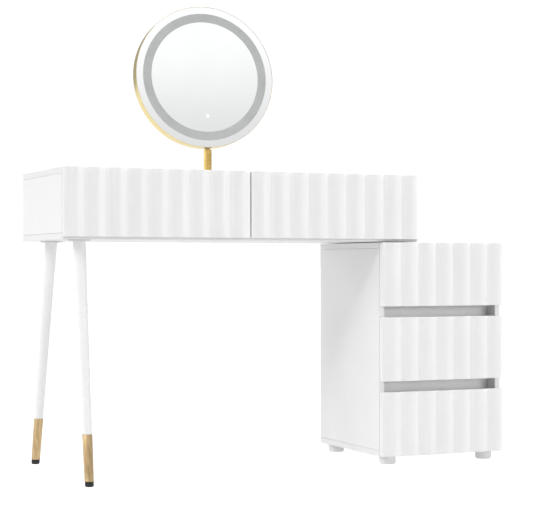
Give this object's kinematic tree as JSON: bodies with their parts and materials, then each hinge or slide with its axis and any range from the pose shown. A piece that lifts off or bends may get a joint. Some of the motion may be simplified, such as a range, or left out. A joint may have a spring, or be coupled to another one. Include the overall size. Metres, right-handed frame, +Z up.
{
  "type": "vanity table with mirror",
  "caption": "Shallow white desk with fluted drawer fronts and splayed gold-tipped legs, carried at one end by a sliding fluted drawer pedestal, with a round lit mirror on a gold post.",
  "frame": {"origin": "on the floor, under the middle of the table's overall length and of the desk's depth", "axes": "+Z up, +X to the sitter's right towards the pedestal, -Y the side the drawers open to"},
  "size_m": [1.213, 0.484, 1.2037],
  "materials": {
    "body_lacquer": "white satin lacquer on fibreboard",
    "front_lacquer": "white satin lacquer on milled fibreboard",
    "drawer_board": "white melamine on particle board",
    "rail_board": "light grey melamine",
    "runner_steel": "zinc-plated steel",
    "leg_lacquer": "white satin lacquer",
    "leg_plate_paint": "white powder coat",
    "ferrule_gold": "satin gold-bronze plating",
    "cap_rubber": "black, matt",
    "foot_plastic": "light grey, moulded",
    "post_gold": "polished gold plating",
    "knuckle_steel": "gold-plated steel",
    "housing_gold": "satin gold anodised",
    "cover_gold": "gold lacquered moulding",
    "led_board": "white circuit board",
    "diffuser_frost": "frosted, translucent",
    "mirror_silver": "silvered glass with an etched ring"
  },
  "bodies": {
    "desk": {"desk_top": "body_lacquer", "desk_bottom": "body_lacquer", "desk_left_side": "body_lacquer", "desk_right_side": "body_lacquer", "desk_back": "body_lacquer", "desk_divider": "body_lacquer", "desk_left_bay_runner_left": "runner_steel", "desk_left_bay_runner_right": "runner_steel", "desk_right_bay_runner_left": "runner_steel", "desk_right_bay_runner_right": "runner_steel", "leg_plate_front": "leg_plate_paint", "leg_front": "leg_lacquer", "leg_ferrule_front": "ferrule_gold", "leg_cap_front": "cap_rubber", "leg_plate_rear": "leg_plate_paint", "leg_rear": "leg_lacquer", "leg_ferrule_rear": "ferrule_gold", "leg_cap_rear": "cap_rubber", "mirror_flange": "post_gold", "mirror_post": "post_gold"},
    "pedestal": {"pedestal_top": "body_lacquer", "pedestal_bottom": "body_lacquer", "pedestal_left_side": "body_lacquer", "pedestal_right_side": "body_lacquer", "pedestal_back": "body_lacquer", "pedestal_rail_upper": "rail_board", "pedestal_rail_lower": "rail_board", "pedestal_foot_front_left": "foot_plastic", "pedestal_foot_front_right": "foot_plastic", "pedestal_foot_rear_left": "foot_plastic", "pedestal_foot_rear_right": "foot_plastic", "pedestal_top_runner_left": "runner_steel", "pedestal_top_runner_right": "runner_steel", "pedestal_middle_runner_left": "runner_steel", "pedestal_middle_runner_right": "runner_steel", "pedestal_bottom_runner_left": "runner_steel", "pedestal_bottom_runner_right": "runner_steel"},
    "desk_drawer_left": {"desk_drawer_left_front": "front_lacquer", "desk_drawer_left_frame": "drawer_board", "desk_drawer_left_floor": "drawer_board"},
    "desk_drawer_right": {"desk_drawer_right_front": "front_lacquer", "desk_drawer_right_frame": "drawer_board", "desk_drawer_right_floor": "drawer_board"},
    "pedestal_drawer_top": {"pedestal_drawer_top_front": "front_lacquer", "pedestal_drawer_top_frame": "drawer_board", "pedestal_drawer_top_floor": "drawer_board"},
    "pedestal_drawer_middle": {"pedestal_drawer_middle_front": "front_lacquer", "pedestal_drawer_middle_frame": "drawer_board", "pedestal_drawer_middle_floor": "drawer_board"},
    "pedestal_drawer_bottom": {"pedestal_drawer_bottom_front": "front_lacquer", "pedestal_drawer_bottom_frame": "drawer_board", "pedestal_drawer_bottom_floor": "drawer_board"},
    "mirror_swivel": {"swivel_knuckle": "knuckle_steel"},
    "mirror_head": {"tilt_pin": "knuckle_steel", "mirror_housing": "housing_gold", "mirror_back_cover": "cover_gold", "led_ring": "led_board", "light_diffuser": "diffuser_frost", "mirror_glass": "mirror_silver", "touch_sensor": "diffuser_frost"}
  },
  "joints": [
    {"name": "desk_drawer_left_slide", "type": "slide", "parent": "desk", "child": "desk_drawer_left", "axis": [0, -1, 0], "range_m": [0, 0.23]},
    {"name": "desk_drawer_right_slide", "type": "slide", "parent": "desk", "child": "desk_drawer_right", "axis": [0, -1, 0], "range_m": [0, 0.23]},
    {"name": "pedestal_drawer_top_slide", "type": "slide", "parent": "pedestal", "child": "pedestal_drawer_top", "axis": [0, -1, 0], "range_m": [0, 0.23]},
    {"name": "pedestal_drawer_middle_slide", "type": "slide", "parent": "pedestal", "child": "pedestal_drawer_middle", "axis": [0, -1, 0], "range_m": [0, 0.23]},
    {"name": "pedestal_drawer_bottom_slide", "type": "slide", "parent": "pedestal", "child": "pedestal_drawer_bottom", "axis": [0, -1, 0], "range_m": [0, 0.23]},
    {"name": "pedestal_slide", "type": "slide", "parent": "desk", "child": "pedestal", "axis": [1, 0, 0], "range_m": [-0.253, 0]},
    {"name": "mirror_swivel_turn", "type": "hinge", "parent": "desk", "child": "mirror_swivel", "pos_m": [-0.1265, 0.11, 0.8375], "axis": [0, 0, 1], "range_deg": [-85.87, 94.13]},
    {"name": "mirror_tilt", "type": "hinge", "parent": "mirror_swivel", "child": "mirror_head", "pos_m": [-0.1265, 0.11, 0.8375], "axis": [0.9967, -0.072, 0.0384], "range_deg": [-9.91, 20.09]}
  ]
}
